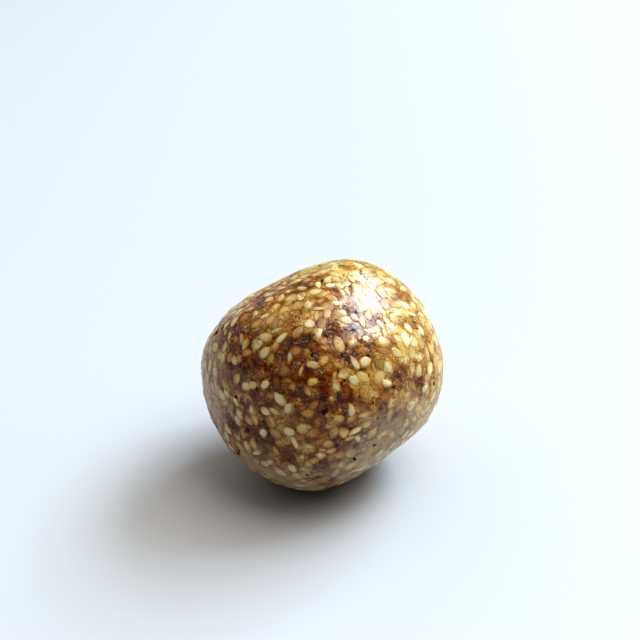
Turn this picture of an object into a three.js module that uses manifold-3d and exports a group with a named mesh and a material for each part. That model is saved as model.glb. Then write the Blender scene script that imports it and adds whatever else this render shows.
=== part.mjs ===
// Sesame ladoo: a hand-rolled ball of sesame seeds bound with jaggery, about 48 mm across.
//
// It is one solid. The ball is a sphere that palms and fingers pressed flatter in some directions, so its
// outline has soft facets and blunt corners, and it rests on a small flat spot. The seeds that stand
// proud of the jaggery are fused to it at true size, the largest of them evenly spread over the ball.
//
// Millimetres, +Z up. The origin is on the surface that the ladoo rests on, under the middle of its
// bounding box. +X is to the right and +Y goes away from the viewer of the side that shows best.

import * as THREE from "three";
import { mergeVertices } from "three/addons/utils/BufferGeometryUtils.js";
import Module from "manifold-3d";

// ---- Driving dimensions, in millimetres and degrees ----

// The ball
const BALL_RADIUS = 24.1; // before pressing
const BALL_CENTRE = [-0.04, 0.11]; // of the sphere, from the origin, along X and Y
const REST_DEPTH = 22.3; // from the sphere's centre down to the flat spot that it rests on
const FLAT_SHARPNESS = 9; // exponent of the soft meeting of the flats: higher is crisper
const BALL_DETAIL = 7; // divisions of each icosahedron edge, less one

// Each flat faces out at an azimuth from +X and an elevation above the horizon,
// and distance is how far its plane lies from the sphere's centre.
const PRESSED_FLATS = [
  { by: "upper palm", azimuth: 162, elevation: 59, distance: 20.5 },
  { by: "lower palm", azimuth: -40, elevation: -43, distance: 21.8 },
  { by: "back fingers", azimuth: 102, elevation: 34, distance: 21 },
  { by: "left finger", azimuth: 187, elevation: -56, distance: 25 },
  { by: "thumb", azimuth: -40, elevation: 54, distance: 23.6 },
  { by: "front left finger", azimuth: 221, elevation: 7, distance: 23.9 },
  { by: "front right finger", azimuth: -53, elevation: -4, distance: 23.9 },
];

// Shallow lumps left by rolling: waves across the ball, each along its own direction
const LUMP_WAVES = 7;
const LUMP_HEIGHT = 0.05; // of each wave
const LUMP_TURNS = [1.4, 3.2]; // waves across the ball's radius, fewest and most

// The seeds that stand proud
const SEED_LENGTH = 2.9;
const SEED_WIDTH = 1.95;
const SEED_THICKNESS = 1.0;
const SEED_TAPER = 0.24; // share by which it is narrower towards its pointed end and wider towards the other
const SEED_SIZE_SPREAD = 0.16; // share by which sizes vary
const SEED_PLACES = 222; // evenly spread places on the whole ball
const SEED_WANDER = 0.45; // how far a seed strays from its place, in places' spacings
const SEED_FLATNESS = 0.6; // exponent of its height: 1 is an ellipsoid, and less is flatter on top
const SEED_PROUD = [0.1, 0.28]; // how far its top stands out of the jaggery, least and most
const SEED_TILT = 5; // most that a seed's tip dips, either way
const SEED_ROLL = 11; // most that it leans about its length, either way
const SEED_CLEAR_OF_REST = 1.3; // lowest seed centre above the flat spot
const SEED_SIDES = 7; // corners of its outline, one of them its pointed end
const SEED_RINGS = 3;

// ---- Random draws: the same ones each time ----

const DRAW_MULTIPLIER = 48271;
const DRAW_MODULUS = 2147483647;

// A function that gives numbers from 0 to 1, by the Park-Miller rule.
function draws(seed) {
  let state = seed;
  return () => {
    state = (state * DRAW_MULTIPLIER) % DRAW_MODULUS;
    return state / DRAW_MODULUS;
  };
}

const between = (low, high, share) => low + (high - low) * share;
const either = (most, share) => most * (2 * share - 1);
const radians = THREE.MathUtils.degToRad;

// ---- The ball ----

function facing(azimuth, elevation) {
  const a = radians(azimuth);
  const e = radians(elevation);
  return new THREE.Vector3(
    Math.cos(e) * Math.cos(a),
    Math.cos(e) * Math.sin(a),
    Math.sin(e),
  );
}

// A direction spread evenly over the sphere, from two draws.
function anyDirection(draw) {
  const z = either(1, draw());
  const turn = 2 * Math.PI * draw();
  const r = Math.sqrt(1 - z * z);
  return new THREE.Vector3(r * Math.cos(turn), r * Math.sin(turn), z);
}

const flats = PRESSED_FLATS.map(({ azimuth, elevation, distance }) => ({
  normal: facing(azimuth, elevation),
  distance,
}));

const waveDraw = draws(7);
const waves = Array.from({ length: LUMP_WAVES }, () => ({
  along: anyDirection(waveDraw),
  turns: 2 * Math.PI * between(...LUMP_TURNS, waveDraw()),
  phase: 2 * Math.PI * waveDraw(),
}));

// Distance from the centre to the surface of the jaggery in a direction: the sphere and the flats'
// planes meet softly, and the lumps ride on that.
function ballRadius(direction) {
  let nearness = BALL_RADIUS ** -FLAT_SHARPNESS;
  for (const { normal, distance } of flats) {
    const facingShare = Math.max(0, direction.dot(normal));
    nearness += (facingShare / distance) ** FLAT_SHARPNESS;
  }
  let lump = 0;
  for (const { along, turns, phase } of waves)
    lump += LUMP_HEIGHT * Math.cos(turns * direction.dot(along) + phase);
  return nearness ** (-1 / FLAT_SHARPNESS) + lump;
}

const ballPoint = (direction) =>
  direction.clone().multiplyScalar(ballRadius(direction));

// Two unit vectors square to a direction and to each other.
function sideways(direction) {
  const reference = new THREE.Vector3(
    ...(Math.abs(direction.z) < 0.9 ? [0, 0, 1] : [1, 0, 0]),
  );
  const first = reference.cross(direction).normalize();
  return [first, direction.clone().cross(first)];
}

// The surface's outward normal, from three points a small step apart.
function ballNormal(direction) {
  const STEP = 0.02;
  const [first, second] = sideways(direction);
  const at = (way) =>
    ballPoint(direction.clone().addScaledVector(way, STEP).normalize());
  const here = ballPoint(direction);
  return at(first).sub(here).cross(at(second).sub(here)).normalize();
}

function ballGeometry() {
  const geometry = new THREE.IcosahedronGeometry(1, BALL_DETAIL);
  const position = geometry.getAttribute("position");
  const point = new THREE.Vector3();
  for (let i = 0; i < position.count; i++) {
    point.fromBufferAttribute(position, i).normalize();
    position.setXYZ(i, ...ballPoint(point));
  }
  return geometry;
}

// ---- The seeds ----

// One flat teardrop: its round end along +X, its pointed end along -X, its flat sides facing Z.
function seedGeometry(size) {
  const geometry = new THREE.SphereGeometry(1, SEED_SIDES, SEED_RINGS);
  geometry.rotateX(Math.PI / 2);
  const position = geometry.getAttribute("position");
  for (let i = 0; i < position.count; i++) {
    const widening = 1 + SEED_TAPER * position.getX(i);
    position.setY(i, position.getY(i) * widening);
    const height = position.getZ(i);
    position.setZ(i, Math.sign(height) * Math.abs(height) ** SEED_FLATNESS);
  }
  return geometry.scale(
    (size * SEED_LENGTH) / 2,
    (size * SEED_WIDTH) / 2,
    (size * SEED_THICKNESS) / 2,
  );
}

// Places spiral down the ball at the golden angle, and each seed strays from its own.
function seedDirection(index, draw) {
  const GOLDEN_ANGLE = Math.PI * (3 - Math.sqrt(5));
  const spacing = Math.sqrt((4 * Math.PI) / SEED_PLACES);
  const z = 1 - (2 * index + 1) / SEED_PLACES;
  const r = Math.sqrt(1 - z * z);
  const turn = index * GOLDEN_ANGLE;
  const place = new THREE.Vector3(r * Math.cos(turn), r * Math.sin(turn), z);
  const [first, second] = sideways(place);
  return place
    .addScaledVector(first, spacing * either(SEED_WANDER, draw()))
    .addScaledVector(second, spacing * either(SEED_WANDER, draw()))
    .normalize();
}

// The proud seeds where they lie, in the sphere's own frame.
function seeds() {
  const draw = draws(101);
  const placed = [];
  for (let index = 0; index < SEED_PLACES; index++) {
    const direction = seedDirection(index, draw);
    const size = 1 + either(SEED_SIZE_SPREAD, draw());
    const proud = between(...SEED_PROUD, draw());
    const spin = 2 * Math.PI * draw();
    const tilt = radians(either(SEED_TILT, draw()));
    const roll = radians(either(SEED_ROLL, draw()));
    const normal = ballNormal(direction);
    const sunk = (size * SEED_THICKNESS) / 2 - proud;
    const centre = ballPoint(direction).addScaledVector(normal, -sunk);
    if (centre.z < SEED_CLEAR_OF_REST - REST_DEPTH) continue;
    const [first, second] = sideways(normal);
    const lay = new THREE.Matrix4()
      .makeBasis(first, second, normal)
      .multiply(new THREE.Matrix4().makeRotationZ(spin))
      .multiply(new THREE.Matrix4().makeRotationY(tilt))
      .multiply(new THREE.Matrix4().makeRotationX(roll))
      .setPosition(centre);
    placed.push(seedGeometry(size).applyMatrix4(lay));
  }
  return placed;
}

// ---- Joining and cutting ----

const wasm = await Module();
wasm.setup();

function solid(geometry) {
  const bare = geometry.clone();
  bare.deleteAttribute("normal");
  bare.deleteAttribute("uv");
  const merged = mergeVertices(bare, 1e-4);
  return new wasm.Manifold(
    new wasm.Mesh({
      numProp: 3,
      vertProperties: merged.getAttribute("position").array,
      triVerts: new Uint32Array(merged.index.array),
    }),
  );
}

function geometryOf(shape) {
  const { vertProperties, triVerts } = shape.getMesh();
  const geometry = new THREE.BufferGeometry();
  geometry.setAttribute(
    "position",
    new THREE.BufferAttribute(vertProperties, 3),
  );
  geometry.setIndex(new THREE.BufferAttribute(triVerts, 1));
  geometry.computeVertexNormals();
  return geometry;
}

// What lies below the flat spot: a block that is cut away.
function belowRest() {
  const side = 4 * BALL_RADIUS;
  return new THREE.BoxGeometry(side, side, side).translate(
    0,
    0,
    -REST_DEPTH - side / 2,
  );
}

function ladooMesh() {
  let shape = solid(ballGeometry());
  for (const seed of seeds()) shape = shape.add(solid(seed));
  shape = shape.subtract(solid(belowRest()));
  const jaggery = new THREE.MeshStandardMaterial({
    color: new THREE.Color(0.4, 0.22, 0.08),
    roughness: 0.3,
    metalness: 0,
  });
  const mesh = new THREE.Mesh(geometryOf(shape), jaggery);
  mesh.name = "ladoo";
  mesh.position.set(...BALL_CENTRE, REST_DEPTH);
  return mesh;
}

const ladoo = new THREE.Group();
ladoo.add(ladooMesh());

export default ladoo;
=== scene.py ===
"""Sesame ladoo: a hand-pressed ball of sesame seeds bound with glossy jaggery.

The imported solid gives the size, the place and the form. The jaggery is a fine mesh of the same pressed
ball, with its film drawn up round the proud seeds, hollows under the flush ones and rough spots. Every
seed that shows is a mesh at true size: the proud ones lie where the solid has them, others are pressed
flush or lie under the film, and the deepest show through it as colour. Everything is in metres, +Z up.
"""

import math
from typing import NamedTuple

import bpy
import numpy as np
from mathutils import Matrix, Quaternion, Vector, noise


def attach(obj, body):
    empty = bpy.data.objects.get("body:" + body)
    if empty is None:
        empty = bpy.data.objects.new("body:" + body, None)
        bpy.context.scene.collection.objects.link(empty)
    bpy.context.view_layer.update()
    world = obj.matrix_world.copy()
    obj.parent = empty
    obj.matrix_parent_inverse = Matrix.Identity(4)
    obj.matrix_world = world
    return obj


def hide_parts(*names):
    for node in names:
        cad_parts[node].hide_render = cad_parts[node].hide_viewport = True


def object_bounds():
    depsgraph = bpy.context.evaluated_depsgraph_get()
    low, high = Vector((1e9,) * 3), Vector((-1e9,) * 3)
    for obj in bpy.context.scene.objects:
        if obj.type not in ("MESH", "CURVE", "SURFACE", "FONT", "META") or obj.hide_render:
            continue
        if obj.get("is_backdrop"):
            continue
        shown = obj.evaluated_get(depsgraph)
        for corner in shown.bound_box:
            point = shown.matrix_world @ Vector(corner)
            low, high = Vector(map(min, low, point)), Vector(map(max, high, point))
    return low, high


bl_info = {
    "name": "Sesame ladoo",
    "version": (1, 0, 0),
    "blender": (4, 5, 0),
    "location": "3D View > Sidebar > Ladoo",
    "description": "Builds a sesame ladoo, its seeds and a plain studio around its packed solid",
    "category": "Add Mesh",
}

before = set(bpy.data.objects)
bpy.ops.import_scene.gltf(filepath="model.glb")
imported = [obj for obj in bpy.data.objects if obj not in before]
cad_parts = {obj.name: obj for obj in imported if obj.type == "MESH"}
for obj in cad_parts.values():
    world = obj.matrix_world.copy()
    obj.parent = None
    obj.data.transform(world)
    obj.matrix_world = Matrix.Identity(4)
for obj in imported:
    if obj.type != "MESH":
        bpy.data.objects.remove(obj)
CAD_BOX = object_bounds()
NODE = "ladoo"
BODY = "root"
MM = 0.001

# ---- The pressed ball: the same values as the solid's ----

BALL_RADIUS = 24.1 * MM
BALL_CENTRE = (-0.04 * MM, 0.11 * MM)
REST_DEPTH = 22.3 * MM
FLAT_SHARPNESS = 9
PRESSED_FLATS = (  # azimuth and elevation that each faces, in degrees, and its distance from the centre
    (162, 59, 20.5 * MM),  # upper palm
    (-40, -43, 21.8 * MM),  # lower palm
    (102, 34, 21 * MM),  # back fingers
    (187, -56, 25 * MM),  # left finger
    (-40, 54, 23.6 * MM),  # thumb
    (221, 7, 23.9 * MM),  # front left finger
    (-53, -4, 23.9 * MM),  # front right finger
)
LUMP_WAVES = 7
LUMP_HEIGHT = 0.05 * MM
LUMP_TURNS = (1.4, 3.2)
LUMP_DRAWS = 7
NORMAL_STEP = 0.02
STEEP = 0.9
DRAW_MULTIPLIER = 48271
DRAW_MODULUS = 2147483647
SPHERE_CENTRE = np.array((*BALL_CENTRE, REST_DEPTH))

# ---- The proud seeds: the same values as the solid's ----

SEED_TAPER = 0.24
SEED_SIZE_SPREAD = 0.16
SEED_PLACES = 222
SEED_WANDER = 0.45
SEED_FLATNESS = 0.6
SEED_PROUD = (0.1 * MM, 0.28 * MM)
SEED_TILT = 5
SEED_ROLL = 11
SEED_CLEAR_OF_REST = 1.3 * MM
SEED_DRAWS = 101

# ---- The form of each seed that shows ----

SEED_SEGMENTS = 20
SEED_RINGS = 8
PINCHED_FROM = 0.9  # where a seed's pointed end is pinched most, and less and less towards its middle
PINCH = (1, 0.45, 0.75)  # what is left of its length, width and height there
OUTLINE_PINCH = 0.3  # the same in its outline on the film: what its width loses at the pointed end,
OUTLINE_PINCHED = (-0.3, -1.1)  # and where that starts, and where it is full
OUTLINE_ENDS = 1.2  # where its taper ends, either way
OUTLINE_LEAST = 0.25
SEED_ROUNDNESS = 0.85  # as SEED_FLATNESS, for the proud ones: as high as the solid's, and a little rounder
CROWN_TO = 0.95  # share of a pressed seed's height at which its top reaches its dome
PRESSED_THICKNESS = 0.7  # share of its thickness that lies under the film
TIP = (-0.78, -1)  # where the brown of its pointed end starts, and where it is full

# ---- Layers of seeds ----


class Layer(NamedTuple):
    """How the seeds of one layer are drawn, and how they show"""

    draws: int
    depths: tuple  # least and most film over a seed's middle: below 0 there is none
    blurs: tuple  # least and most share of a seed's radius over which its outline fades
    apart: float = 0  # least distance from the seeds laid before it
    narrow: float = 0  # share of them that lie on their narrow side
    dome: float = 0  # most that a seed's top crowns above the film
    rim: float = 0  # how far its rim dips below it
    dent: float = 0  # depth of the hollow in the jaggery under it


PROUD = Layer(draws=12, depths=(-0.35 * MM, 0.12 * MM), blurs=(0.03, 0.14))
FLUSH = Layer(
    draws=21, depths=(-0.2 * MM, 0.1 * MM), blurs=(0.1, 0.3), apart=2.0 * MM, narrow=0.3,
    dome=0.15 * MM, rim=0.03 * MM, dent=0.16 * MM,
)
VEILED = Layer(
    draws=31, depths=(0.05 * MM, 0.45 * MM), blurs=(0.15, 0.5), apart=1.5 * MM, narrow=0.4,
    dome=0.07 * MM, rim=0.015 * MM, dent=0.08 * MM,
)
BURIED = Layer(
    draws=41, depths=(0.25 * MM, 1.1 * MM), blurs=(0.25, 0.8), apart=0.9 * MM, narrow=0.35
)

TONE_DRAWS = 11
SOWN_SIZE = 1.05  # length and width of a mean sown seed, as a share of a mean proud one's
NARROW_WIDTHS = (0.55, 0.85)  # share of its width that a seed on its narrow side shows
STRETCH = (0.92, 1.1)  # how much longer and narrower a sown seed is, or shorter and wider
DOMES = (0.3, 1)  # share of its layer's dome that a seed has
SLOPE = 0.35 * MM  # most that a seed slopes down from its middle to an end or a side
SEED_FALL_AND_SHADE = 0.85  # share of a seed's thickness that its top falls from its middle to its outline, under more film there: partly painted shade that rounds each seed
BLUR_BY_DEPTH = 0.6  # how much a seed's blur goes by its depth rather than by chance
BLUR_BEYOND = 0.3  # how far its blur goes outside its outline, as a share of how far it goes inside
CHANCES = 12  # places tried for each one that is wanted

# The kinds: name, its span of tones, and which tones of proud, flush and veiled seeds are that kind
KINDS = (
    ("pale", (0, 0.28), (0, 0.7), (0, 0.6), (0, 0.35)),
    ("golden", (0.28, 0.75), (0.7, 0.96), (0.6, 0.95), (0.35, 0.8)),
    ("toasted", (0.75, 1), (0.96, 1), (0.95, 1), (0.8, 1)),
)

# ---- The jaggery's mesh ----

CUBE_CUTS = (7, 15)  # cuts of each edge, then of each piece of it, which makes 128 pieces
REST_EDGE_SHARPNESS = 80  # exponent of the flat spot's rounded edge
RELIEF_ENDS = (0.6 * MM, 0.1 * MM)  # height above the rest where relief starts to fade, and where it ends
NEAR_SEED = 0.6 * MM  # how far past a seed's margin points are still looked at
FILM_MARGIN = 1.5  # of a seed, as a share of its radius, for the film's rise and the hollows
COLOUR_MARGIN = 1.3  # the same, for its colour
PAINTED_SHADE_MARGIN = 1.4  # and for the painted shade beside it
CLIMB_FROM = 0.9  # share of a proud seed's radius at which the film starts to fall away
DENT_EDGE = (0.98, 0.65)  # share of a seed's radius where its hollow starts, and where it is full
LEVEL_FROM = 0.08 * MM  # depth of a hollow in which the jaggery is smooth
SWELL = 0.07 * MM  # most that the film swells over a seed under it
SWELL_DEPTH = 0.4 * MM  # depth of a seed at which that is down to about a third
UNEVENNESS = (0.03 * MM, 2.2 * MM)  # height and size
ROUGHNESS = (0.08 * MM, 0.7 * MM)  # the same, on the rough spots
DEEPEST = 1.9 * MM  # where no seed shows any more
PAINTED_SHADE = 0.7  # painted shade in the crevice round a clear seed, partly its thicker film: most of the way to the deepest that the film goes right beside it
PAINTED_SHADE_INSIDE = (0.98, 1.1)  # share of a seed's radius where that painted shade starts, and where it is full
PAINTED_SHADE_OUTSIDE = (1.4, 1.12)  # and, on its far side, where it ends and where it is still full
NO_SEED_TONE = 0.5

ROUGH_SPOTS = (  # azimuth and elevation that each faces, and its radius
    (-84, 47, 3.2 * MM),
    (-62, 40, 2.2 * MM),
    (-112, 19, 1.6 * MM),
    (20, 30, 3 * MM),
    (128, 12, 3.4 * MM),
    (75, 62, 2.4 * MM),
    (-160, -20, 2.8 * MM),
)
ROUGH_EDGE = (0.9 * MM, 1.4 * MM)  # how far a rough spot's edge wanders, and over what size
ROUGH_CORE = 0.45  # share of its radius within which it is fully rough

# ---- Bits ----


class Bits(NamedTuple):
    """How one kind of bit is made and laid"""

    forms: tuple  # draws of each of its forms
    jag: float  # how uneven their corners are
    place_draws: int
    apart: float
    lay_draws: int
    radii: tuple  # smallest and largest


CRUMBS = Bits((1, 2, 3, 4), 0.35, 51, 0.75 * MM, 72, (0.12 * MM, 0.42 * MM))
SPECKS = Bits((5, 6, 7, 8, 9, 10), 0.8, 61, 1.2 * MM, 73, (0.08 * MM, 0.52 * MM))
BIT_EVENNESS = 0.4  # how alike the corners' shifts are in length, from 0 to 1
BIT_HEIGHT = 0.3  # of a bit, as a share of its length
BIT_WIDTHS = (0.4, 1)  # the same, least and most
CRUMB_TRAIT_DRAWS = 71
CRUMB_DEPTH = 0.6  # most film over a crumb, in millimetres

# ---- The film's look ----

PAINTED_SHADE_SIDE = (-120, -10)  # azimuth and elevation of the side painted brownest, away from the window: painted shade
MILK_AND_SHEEN_SPOTS = (  # azimuth and elevation that each faces, radius in millimetres, and how clouded it is: clouded film, partly a painted sheen of the pale room on the rims
    (-168, 2, 13, 1),
    (-50, -22, 16, 1),
    (-118, -40, 13, 1),
    (62, 2, 13, 0.45),
    (138, -28, 12, 0.6),
)
MILK_AND_SHEEN_WANDER = 6  # how far such a spot's edge wanders, in millimetres
MILK_AND_SHEEN_CORE = 0.5  # share of its radius within which it is fully clouded
MILK_AND_SHEEN_HIDES = 0.4  # share of what lies right under it that the clouded film and its painted sheen hide
MILK_AND_SHEEN_HIDES_MORE = 0.42  # how much more it hides of what lies deep
MILK_AND_SHEEN_DEPTH = 0.8  # how deep that is, in millimetres
COOKED_SIZE = 9.0  # of the well cooked parts, in millimetres
COOKED_NOISE = (0.36, 0.66)  # at which they start and are full
PAINTED_SHADE_BY_SIDE = 0.25  # how much more of them that side has: painted shade

# Patches: size in millimetres, the noise at which they start and are full, its detail and roughness
CLOUDS = (6.0, (0.36, 0.64), 3, 0.5)
BLOTCHES = (1.3, (0.36, 0.66), 3, 0.6)
GRAIN = (0.32, (0.3, 0.7), 4, 0.7)
BURNT = (2.4, (0.57, 0.66), 4, 0.62)
CRACKED = (1.5, (0.54, 0.62), 3, 0.6)
SUGARY = (3.2, (0.45, 0.57), 3, 0.5)
PITS = (0.6, (0.57, 0.61), 4, 0.65)
SEED_PITS = (0.6, (0.62, 0.66), 4, 0.65)
HOLLOWS = (1.7, (0.6, 0.66), 4, 0.6)

# Warps: size in millimetres, and how far they push
DRIFT = (2.0, 1.5)
JOSTLE = (0.45, 0.5)
HOLLOW_DRIFT = (1.2, 1.2)
CRYSTAL_JOSTLE = (0.15, 0.2)

# Cells: their size in millimetres, and where what is in them starts and is full, as a share of that
CRACK_CELL = 1.1
CRACK = (0.06, 0.02)  # from a cell's edge
PORE_CELL = 1.3
PORE = (0.17, 0.1)  # from its middle
CRYSTAL_CELL = 0.5
CRYSTAL_GAP_SHADE = (0.3, 0.55)  # from its middle; the gaps are painted darker, as painted shade between the crystals

# Colours
MILK_AND_SHEEN = (0.44, 0.31, 0.175)  # of clouded film, partly a painted sheen
PAINTED_PIT_SHADE = (0.016, 0.005, 0.002)  # near black painted shade in the pits, pores, hollows and cracks of the jaggery
PAINTED_SEED_PIT_SHADE = (0.02, 0.01, 0.008)  # painted shade in a pit in the film over a seed
DULL_SEED = (0.36, 0.31, 0.18)
SEED_MOTTLE = (0.36, 0.26, 0.12)

# ---- The stage ----

WINDOW = (36, 46, 2.2, 1.15, -22)  # azimuth, elevation, width, height and turn, in degrees and metres
SKYLIGHT = (-20, 66, 2.4, 2.4, 0)
LIGHTS_AWAY = 3  # from the ball's centre
DAYLIGHT = (0.77, 0.94, 1.09)  # colour of the window's light
LAMPLIGHT = (1, 0.97, 0.93)  # colour of the light overhead and of the room
HORIZON = 0.14  # radiance of the room low down, all round but at the right
FLOOR_SIDE = 8
BACKDROP_RADIUS = 1.5
BACKDROP_SIDES = 128
BACKDROP_GLOW = 1.1  # its radiance, as a share of its colour
SENSOR_WIDTH = 36  # of the camera, in millimetres
NEAREST_SEEN = 0.01


# ---- Settings: what someone would change ----


class LadooJaggery(bpy.types.PropertyGroup):
    """Finish of the jaggery between and over the seeds"""

    own: bpy.props.FloatVectorProperty(
        name="Own colour", description="Of jaggery so deep that no seed shows through it",
        subtype="COLOR", size=3, min=0, max=1, default=(0.034, 0.013, 0.002),
    )
    golden: bpy.props.FloatVectorProperty(
        name="Golden", description="What comes back through each millimetre where it is lightly cooked",
        subtype="COLOR", size=3, min=0, max=1, default=(0.675, 0.48, 0.175),
    )
    brown: bpy.props.FloatVectorProperty(
        name="Brown", description="What comes back through each millimetre where it is well cooked",
        subtype="COLOR", size=3, min=0, max=1, default=(0.485, 0.255, 0.076),
    )
    film_roughness: bpy.props.FloatProperty(
        name="Film roughness", description="Of the smooth film over jaggery and seeds",
        subtype="FACTOR", min=0, max=1, default=0.26,
    )
    film_ior: bpy.props.FloatProperty(
        name="Film IOR", description="Index of refraction of the film: higher is glossier",
        min=1, default=1.56,
    )
    climb: bpy.props.FloatProperty(
        name="Film climb", description="Share of a proud seed's height that the film climbs up its side",
        subtype="FACTOR", min=0, max=1, default=0.35,
    )
    reach: bpy.props.FloatProperty(
        name="Film reach", description="How far from a proud seed the film starts to rise",
        unit="LENGTH", min=0, default=0.45 * MM,
    )


class LadooSeeds(bpy.types.PropertyGroup):
    """Sizes, counts and colours of the sesame seeds"""

    length: bpy.props.FloatProperty(
        name="Length", description="Of a mean seed", unit="LENGTH", min=0, default=2.9 * MM
    )
    width: bpy.props.FloatProperty(
        name="Width", description="Of a mean seed", unit="LENGTH", min=0, default=1.95 * MM
    )
    thickness: bpy.props.FloatProperty(
        name="Thickness", description="Of a mean seed", unit="LENGTH", min=0, default=1.0 * MM
    )
    flush: bpy.props.IntProperty(
        name="Flush seeds", description="Clear seeds pressed level with the film", min=0, default=190
    )
    veiled: bpy.props.IntProperty(
        name="Veiled seeds", description="Seeds just under the film, at most", min=0, default=500
    )
    buried: bpy.props.IntProperty(
        name="Buried seeds", description="Seeds that only show through the film as colour, at most",
        min=0, default=1900,
    )
    pale: bpy.props.FloatVectorProperty(
        name="Pale", description="Hulled seed, hardly toasted", subtype="COLOR",
        size=3, min=0, max=1, default=(0.85, 0.75, 0.48),
    )
    golden: bpy.props.FloatVectorProperty(
        name="Golden", description="Lightly toasted seed", subtype="COLOR",
        size=3, min=0, max=1, default=(0.77, 0.56, 0.19),
    )
    toasted: bpy.props.FloatVectorProperty(
        name="Toasted", description="Well toasted seed", subtype="COLOR",
        size=3, min=0, max=1, default=(0.46, 0.27, 0.08),
    )


class LadooBits(bpy.types.PropertyGroup):
    """Counts and colour of the broken bits"""

    crumbs: bpy.props.IntProperty(
        name="Crumbs", description="Broken pieces of seed in the film, at most", min=0, default=320
    )
    specks: bpy.props.IntProperty(
        name="Specks", description="Scorched black bits in the film", min=0, default=100
    )
    scorched: bpy.props.FloatVectorProperty(
        name="Scorched", description="Colour of the black bits", subtype="COLOR",
        size=3, min=0, max=1, default=(0.010, 0.006, 0.006),
    )


class LadooStudio(bpy.types.PropertyGroup):
    """Floor, lights and camera"""

    floor: bpy.props.FloatVectorProperty(
        name="Floor", description="Colour of the plain floor and of the backdrop", subtype="COLOR",
        size=3, min=0, max=1, default=(0.505, 0.515, 0.53),
    )
    window: bpy.props.FloatProperty(
        name="Window", description="Radiance of the window behind to the right", min=0, default=9.5
    )
    skylight: bpy.props.FloatProperty(
        name="Skylight", description="Radiance of the broad light overhead", min=0, default=2.1
    )
    walls: bpy.props.FloatProperty(
        name="Walls", description="Radiance of the dim room", min=0, default=0.15
    )
    right: bpy.props.FloatProperty(
        name="Right", description="Radiance of the room's brighter right side", min=0, default=0.65
    )
    ceiling: bpy.props.FloatProperty(
        name="Ceiling", description="Radiance of the ceiling", min=0, default=0.66
    )
    front: bpy.props.FloatProperty(
        name="Front", description="Radiance of the dark side behind the camera", min=0, default=0.03
    )
    camera_height: bpy.props.FloatProperty(
        name="Camera height", description="Above the floor", unit="LENGTH", min=0, default=120.9 * MM
    )
    camera_back: bpy.props.FloatProperty(
        name="Camera distance", description="In front of the ball's centre", unit="LENGTH",
        min=0, default=180.4 * MM,
    )
    camera_aside: bpy.props.FloatProperty(
        name="Camera aside", description="To the left of the ball's centre", unit="LENGTH",
        default=0.31 * MM,
    )
    camera_pitch: bpy.props.FloatProperty(
        name="Camera pitch", description="How far it looks down", subtype="ANGLE",
        default=math.radians(25.75),
    )
    focal_length: bpy.props.FloatProperty(
        name="Focal length", description="On a 36 mm sensor", subtype="DISTANCE_CAMERA",
        min=1, default=58.05,
    )


# ---- Vectors and draws ----


def unit(vectors):
    return vectors / np.linalg.norm(vectors, axis=-1, keepdims=True)


def smooth(values, low, high):
    """A soft step from 0 at low to 1 at high, or the other way where high is less than low."""
    share = np.clip((values - low) / (high - low), 0, 1)
    return share * share * (3 - 2 * share)


def facing(azimuth, elevation):
    a = math.radians(azimuth)
    e = math.radians(elevation)
    return np.array((math.cos(e) * math.cos(a), math.cos(e) * math.sin(a), math.sin(e)))


def draws(seed):
    """A function that gives numbers from 0 to 1, by the Park-Miller rule."""
    state = seed

    def draw():
        nonlocal state
        state = state * DRAW_MULTIPLIER % DRAW_MODULUS
        return state / DRAW_MODULUS

    return draw


def between(low, high, share):
    return low + (high - low) * share


def either(most, share):
    return most * (2 * share - 1)


def sideways(directions):
    """Two unit vectors square to each direction and to each other."""
    steep = np.abs(directions[..., 2:]) >= STEEP
    reference = np.where(steep, (1.0, 0.0, 0.0), (0.0, 0.0, 1.0))
    first = unit(np.cross(reference, directions))
    return first, np.cross(directions, first)


def rotated(first, second, angles):
    """Two coordinates of each copy's points, turned from the first towards the second by its angle."""
    cos = np.cos(angles)[:, None]
    sin = np.sin(angles)[:, None]
    return cos * first - sin * second, sin * first + cos * second


def golden_spiral(count):
    """Directions spread evenly over a sphere, from the top down."""
    index = np.arange(count)
    z = 1 - (2 * index + 1) / count
    r = np.sqrt(1 - z * z)
    turn = index * math.pi * (3 - math.sqrt(5))
    return np.stack((r * np.cos(turn), r * np.sin(turn), z), axis=1)


# ---- The film's surface ----


def lump_waves():
    draw = draws(LUMP_DRAWS)
    waves = []
    for _ in range(LUMP_WAVES):
        z = either(1, draw())
        turn = 2 * math.pi * draw()
        r = math.sqrt(1 - z * z)
        along = np.array((r * math.cos(turn), r * math.sin(turn), z))
        turns = 2 * math.pi * between(*LUMP_TURNS, draw())
        waves.append((along, turns, 2 * math.pi * draw()))
    return waves


WAVES = lump_waves()


def ball_radius(directions):
    """Distance from the centre to the film: a sphere and flats that meet softly, and lumps on that."""
    nearness = np.full(directions.shape[:-1], BALL_RADIUS**-FLAT_SHARPNESS)
    for azimuth, elevation, distance in PRESSED_FLATS:
        share = np.maximum(0, directions @ facing(azimuth, elevation))
        nearness += (share / distance) ** FLAT_SHARPNESS
    radius = nearness ** (-1 / FLAT_SHARPNESS)
    for along, turns, phase in WAVES:
        radius += LUMP_HEIGHT * np.cos(turns * (directions @ along) + phase)
    return radius


def rested_radius(directions):
    """The same, with the flat spot and its rounded edge."""
    radius = ball_radius(directions)
    to_floor = np.maximum(1e-6, -directions[..., 2]) / REST_DEPTH
    crowding = 1 + (radius * to_floor) ** REST_EDGE_SHARPNESS
    return radius * crowding ** (-1 / REST_EDGE_SHARPNESS)


def film_points(directions, radius=rested_radius):
    return directions * radius(directions)[..., None]


def film_normals(directions, radius=rested_radius):
    first, second = sideways(directions)
    here = film_points(directions, radius)
    along = film_points(unit(directions + NORMAL_STEP * first), radius) - here
    across = film_points(unit(directions + NORMAL_STEP * second), radius) - here
    return unit(np.cross(along, across))


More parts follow.
